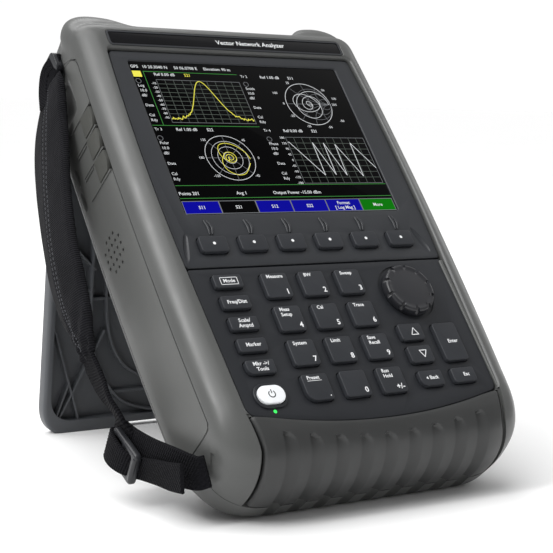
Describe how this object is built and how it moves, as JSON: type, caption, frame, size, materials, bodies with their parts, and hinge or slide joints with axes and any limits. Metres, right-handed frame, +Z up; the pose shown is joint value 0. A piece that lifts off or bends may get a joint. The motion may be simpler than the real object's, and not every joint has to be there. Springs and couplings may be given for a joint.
{
  "type": "handheld vector network analyzer",
  "caption": "Rugged handheld radio test instrument with a lit display, keypad, knob, two coaxial ports on top, hand strap and fold-out tilt stand.",
  "frame": {"origin": "on the surface it stands on, under the middle of the bounding box", "axes": "+Z up, +X to the user's right, +Y away from the user, from the face towards the stand"},
  "size_m": [0.2092, 0.228, 0.2369],
  "materials": {
    "case_grey": "satin, finely textured warm grey",
    "case_dark": "satin dark grey",
    "flap_rubber": "soft-touch grey",
    "face_dark": "satin slate grey",
    "window": "glossy, over a lit display",
    "module_black": "plain",
    "strip_gloss": "glossy black",
    "key_rubber": "matt black elastomer with pale legends",
    "power_key": "pale grey, softly lit",
    "knob_rubber": "matt black, ribbed",
    "board_green": "solder mask",
    "encoder_metal": "stamped",
    "shield_metal": "milled",
    "battery_shell": "plain",
    "plate_black": "satin black",
    "port_metal": "nickel-like, passivated steel",
    "pin_steel": "ground",
    "strap_fabric": "padded, woven in a diagonal twill",
    "webbing_fabric": "ribbed nylon webbing",
    "buckle_plastic": "satin dark grey",
    "anchor_plastic": "satin grey",
    "stand_plastic": "satin dark grey"
  },
  "bodies": {
    "case": {"bottom_bumper": "case_dark", "front_frame": "case_grey", "main_housing": "case_grey", "side_panel_left": "case_grey", "side_panel_right": "case_grey", "rear_cover": "case_dark", "stand_pin": "pin_steel", "display_bezel": "face_dark", "display_window": "window", "lcd_module": "module_black", "name_strip": "strip_gloss", "keypad_panel": "face_dark", "keypad_board": "board_green", "rotary_encoder": "encoder_metal", "main_board": "board_green", "rf_module": "shield_metal", "battery_pack": "battery_shell", "speaker": "module_black", "connector_plate": "plate_black", "rf_port_1": "port_metal", "rf_port_2": "port_metal", "strap_pad": "strap_fabric", "strap_webbing": "webbing_fabric", "strap_buckle": "buckle_plastic", "strap_anchor": "anchor_plastic"},
    "softkey_1": {"softkey_1": "key_rubber"},
    "softkey_2": {"softkey_2": "key_rubber"},
    "softkey_3": {"softkey_3": "key_rubber"},
    "softkey_4": {"softkey_4": "key_rubber"},
    "softkey_5": {"softkey_5": "key_rubber"},
    "softkey_6": {"softkey_6": "key_rubber"},
    "function_key_1": {"function_key_1": "key_rubber"},
    "function_key_2": {"function_key_2": "key_rubber"},
    "function_key_3": {"function_key_3": "key_rubber"},
    "function_key_4": {"function_key_4": "key_rubber"},
    "function_key_5": {"function_key_5": "key_rubber"},
    "key_0": {"key_0": "key_rubber"},
    "key_1": {"key_1": "key_rubber"},
    "key_2": {"key_2": "key_rubber"},
    "key_3": {"key_3": "key_rubber"},
    "key_4": {"key_4": "key_rubber"},
    "key_5": {"key_5": "key_rubber"},
    "key_6": {"key_6": "key_rubber"},
    "key_7": {"key_7": "key_rubber"},
    "key_8": {"key_8": "key_rubber"},
    "key_9": {"key_9": "key_rubber"},
    "key_point": {"key_point": "key_rubber"},
    "key_sign": {"key_sign": "key_rubber"},
    "key_up": {"key_up": "key_rubber"},
    "key_down": {"key_down": "key_rubber"},
    "key_enter": {"key_enter": "key_rubber"},
    "key_back": {"key_back": "key_rubber"},
    "key_escape": {"key_escape": "key_rubber"},
    "power_key": {"power_key": "power_key"},
    "knob": {"knob": "knob_rubber"},
    "port_flap_1": {"port_flap_1": "flap_rubber"},
    "port_flap_2": {"port_flap_2": "flap_rubber"},
    "port_flap_3": {"port_flap_3": "flap_rubber"},
    "battery_door": {"battery_door": "case_grey"},
    "tilt_stand": {"tilt_stand": "stand_plastic"}
  },
  "joints": [
    {"name": "softkey_1_press", "type": "slide", "parent": "case", "child": "softkey_1", "axis": [0, 0.7547, -0.6561], "range_m": [0, 0.0012], "stiffness_N_per_m": 600, "springref_m": -0.0005},
    {"name": "softkey_2_press", "type": "slide", "parent": "case", "child": "softkey_2", "axis": [0, 0.7547, -0.6561], "range_m": [0, 0.0012], "stiffness_N_per_m": 600, "springref_m": -0.0005},
    {"name": "softkey_3_press", "type": "slide", "parent": "case", "child": "softkey_3", "axis": [0, 0.7547, -0.6561], "range_m": [0, 0.0012], "stiffness_N_per_m": 600, "springref_m": -0.0005},
    {"name": "softkey_4_press", "type": "slide", "parent": "case", "child": "softkey_4", "axis": [0, 0.7547, -0.6561], "range_m": [0, 0.0012], "stiffness_N_per_m": 600, "springref_m": -0.0005},
    {"name": "softkey_5_press", "type": "slide", "parent": "case", "child": "softkey_5", "axis": [0, 0.7547, -0.6561], "range_m": [0, 0.0012], "stiffness_N_per_m": 600, "springref_m": -0.0005},
    {"name": "softkey_6_press", "type": "slide", "parent": "case", "child": "softkey_6", "axis": [0, 0.7547, -0.6561], "range_m": [0, 0.0012], "stiffness_N_per_m": 600, "springref_m": -0.0005},
    {"name": "function_key_1_press", "type": "slide", "parent": "case", "child": "function_key_1", "axis": [0, 0.7547, -0.6561], "range_m": [0, 0.0012], "stiffness_N_per_m": 600, "springref_m": -0.0005},
    {"name": "function_key_2_press", "type": "slide", "parent": "case", "child": "function_key_2", "axis": [0, 0.7547, -0.6561], "range_m": [0, 0.0012], "stiffness_N_per_m": 600, "springref_m": -0.0005},
    {"name": "function_key_3_press", "type": "slide", "parent": "case", "child": "function_key_3", "axis": [0, 0.7547, -0.6561], "range_m": [0, 0.0012], "stiffness_N_per_m": 600, "springref_m": -0.0005},
    {"name": "function_key_4_press", "type": "slide", "parent": "case", "child": "function_key_4", "axis": [0, 0.7547, -0.6561], "range_m": [0, 0.0012], "stiffness_N_per_m": 600, "springref_m": -0.0005},
    {"name": "function_key_5_press", "type": "slide", "parent": "case", "child": "function_key_5", "axis": [0, 0.7547, -0.6561], "range_m": [0, 0.0012], "stiffness_N_per_m": 600, "springref_m": -0.0005},
    {"name": "key_0_press", "type": "slide", "parent": "case", "child": "key_0", "axis": [0, 0.7547, -0.6561], "range_m": [0, 0.0012], "stiffness_N_per_m": 600, "springref_m": -0.0005},
    {"name": "key_1_press", "type": "slide", "parent": "case", "child": "key_1", "axis": [0, 0.7547, -0.6561], "range_m": [0, 0.0012], "stiffness_N_per_m": 600, "springref_m": -0.0005},
    {"name": "key_2_press", "type": "slide", "parent": "case", "child": "key_2", "axis": [0, 0.7547, -0.6561], "range_m": [0, 0.0012], "stiffness_N_per_m": 600, "springref_m": -0.0005},
    {"name": "key_3_press", "type": "slide", "parent": "case", "child": "key_3", "axis": [0, 0.7547, -0.6561], "range_m": [0, 0.0012], "stiffness_N_per_m": 600, "springref_m": -0.0005},
    {"name": "key_4_press", "type": "slide", "parent": "case", "child": "key_4", "axis": [0, 0.7547, -0.6561], "range_m": [0, 0.0012], "stiffness_N_per_m": 600, "springref_m": -0.0005},
    {"name": "key_5_press", "type": "slide", "parent": "case", "child": "key_5", "axis": [0, 0.7547, -0.6561], "range_m": [0, 0.0012], "stiffness_N_per_m": 600, "springref_m": -0.0005},
    {"name": "key_6_press", "type": "slide", "parent": "case", "child": "key_6", "axis": [0, 0.7547, -0.6561], "range_m": [0, 0.0012], "stiffness_N_per_m": 600, "springref_m": -0.0005},
    {"name": "key_7_press", "type": "slide", "parent": "case", "child": "key_7", "axis": [0, 0.7547, -0.6561], "range_m": [0, 0.0012], "stiffness_N_per_m": 600, "springref_m": -0.0005},
    {"name": "key_8_press", "type": "slide", "parent": "case", "child": "key_8", "axis": [0, 0.7547, -0.6561], "range_m": [0, 0.0012], "stiffness_N_per_m": 600, "springref_m": -0.0005},
    {"name": "key_9_press", "type": "slide", "parent": "case", "child": "key_9", "axis": [0, 0.7547, -0.6561], "range_m": [0, 0.0012], "stiffness_N_per_m": 600, "springref_m": -0.0005},
    {"name": "key_point_press", "type": "slide", "parent": "case", "child": "key_point", "axis": [0, 0.7547, -0.6561], "range_m": [0, 0.0012], "stiffness_N_per_m": 600, "springref_m": -0.0005},
    {"name": "key_sign_press", "type": "slide", "parent": "case", "child": "key_sign", "axis": [0, 0.7547, -0.6561], "range_m": [0, 0.0012], "stiffness_N_per_m": 600, "springref_m": -0.0005},
    {"name": "key_up_press", "type": "slide", "parent": "case", "child": "key_up", "axis": [0, 0.7547, -0.6561], "range_m": [0, 0.0012], "stiffness_N_per_m": 600, "springref_m": -0.0005},
    {"name": "key_down_press", "type": "slide", "parent": "case", "child": "key_down", "axis": [0, 0.7547, -0.6561], "range_m": [0, 0.0012], "stiffness_N_per_m": 600, "springref_m": -0.0005},
    {"name": "key_enter_press", "type": "slide", "parent": "case", "child": "key_enter", "axis": [0, 0.7547, -0.6561], "range_m": [0, 0.0012], "stiffness_N_per_m": 600, "springref_m": -0.0005},
    {"name": "key_back_press", "type": "slide", "parent": "case", "child": "key_back", "axis": [0, 0.7547, -0.6561], "range_m": [0, 0.0012], "stiffness_N_per_m": 600, "springref_m": -0.0005},
    {"name": "key_escape_press", "type": "slide", "parent": "case", "child": "key_escape", "axis": [0, 0.7547, -0.6561], "range_m": [0, 0.0012], "stiffness_N_per_m": 600, "springref_m": -0.0005},
    {"name": "power_key_press", "type": "slide", "parent": "case", "child": "power_key", "axis": [0, 0.7547, -0.6561], "range_m": [0, 0.0012], "stiffness_N_per_m": 600, "springref_m": -0.0005},
    {"name": "knob_turn", "type": "hinge", "parent": "case", "child": "knob", "pos_m": [0.0568, -0.06187, 0.09883], "axis": [0, 0.7547, -0.6561], "continuous": true},
    {"name": "port_flap_1_hinge", "type": "hinge", "parent": "case", "child": "port_flap_1", "pos_m": [-0.0816, 0.03675, 0.17799], "axis": [0, -0.6561, -0.7547], "range_deg": [0, 90]},
    {"name": "port_flap_2_hinge", "type": "hinge", "parent": "case", "child": "port_flap_2", "pos_m": [-0.0819, 0.02744, 0.16727], "axis": [0, -0.6561, -0.7547], "range_deg": [0, 90]},
    {"name": "port_flap_3_hinge", "type": "hinge", "parent": "case", "child": "port_flap_3", "pos_m": [-0.0821, 0.01812, 0.15656], "axis": [0, -0.6561, -0.7547], "range_deg": [0, 90]},
    {"name": "battery_door_hinge", "type": "hinge", "parent": "case", "child": "battery_door", "pos_m": [0.1047, -0.03592, 0.0601], "axis": [0, 0.6561, 0.7547], "range_deg": [0, 95]},
    {"name": "tilt_stand_hinge", "type": "hinge", "parent": "case", "child": "tilt_stand", "pos_m": [0.0112, 0.09399, 0.17905], "axis": [1, 0, 0], "range_deg": [-46, 0]}
  ]
}
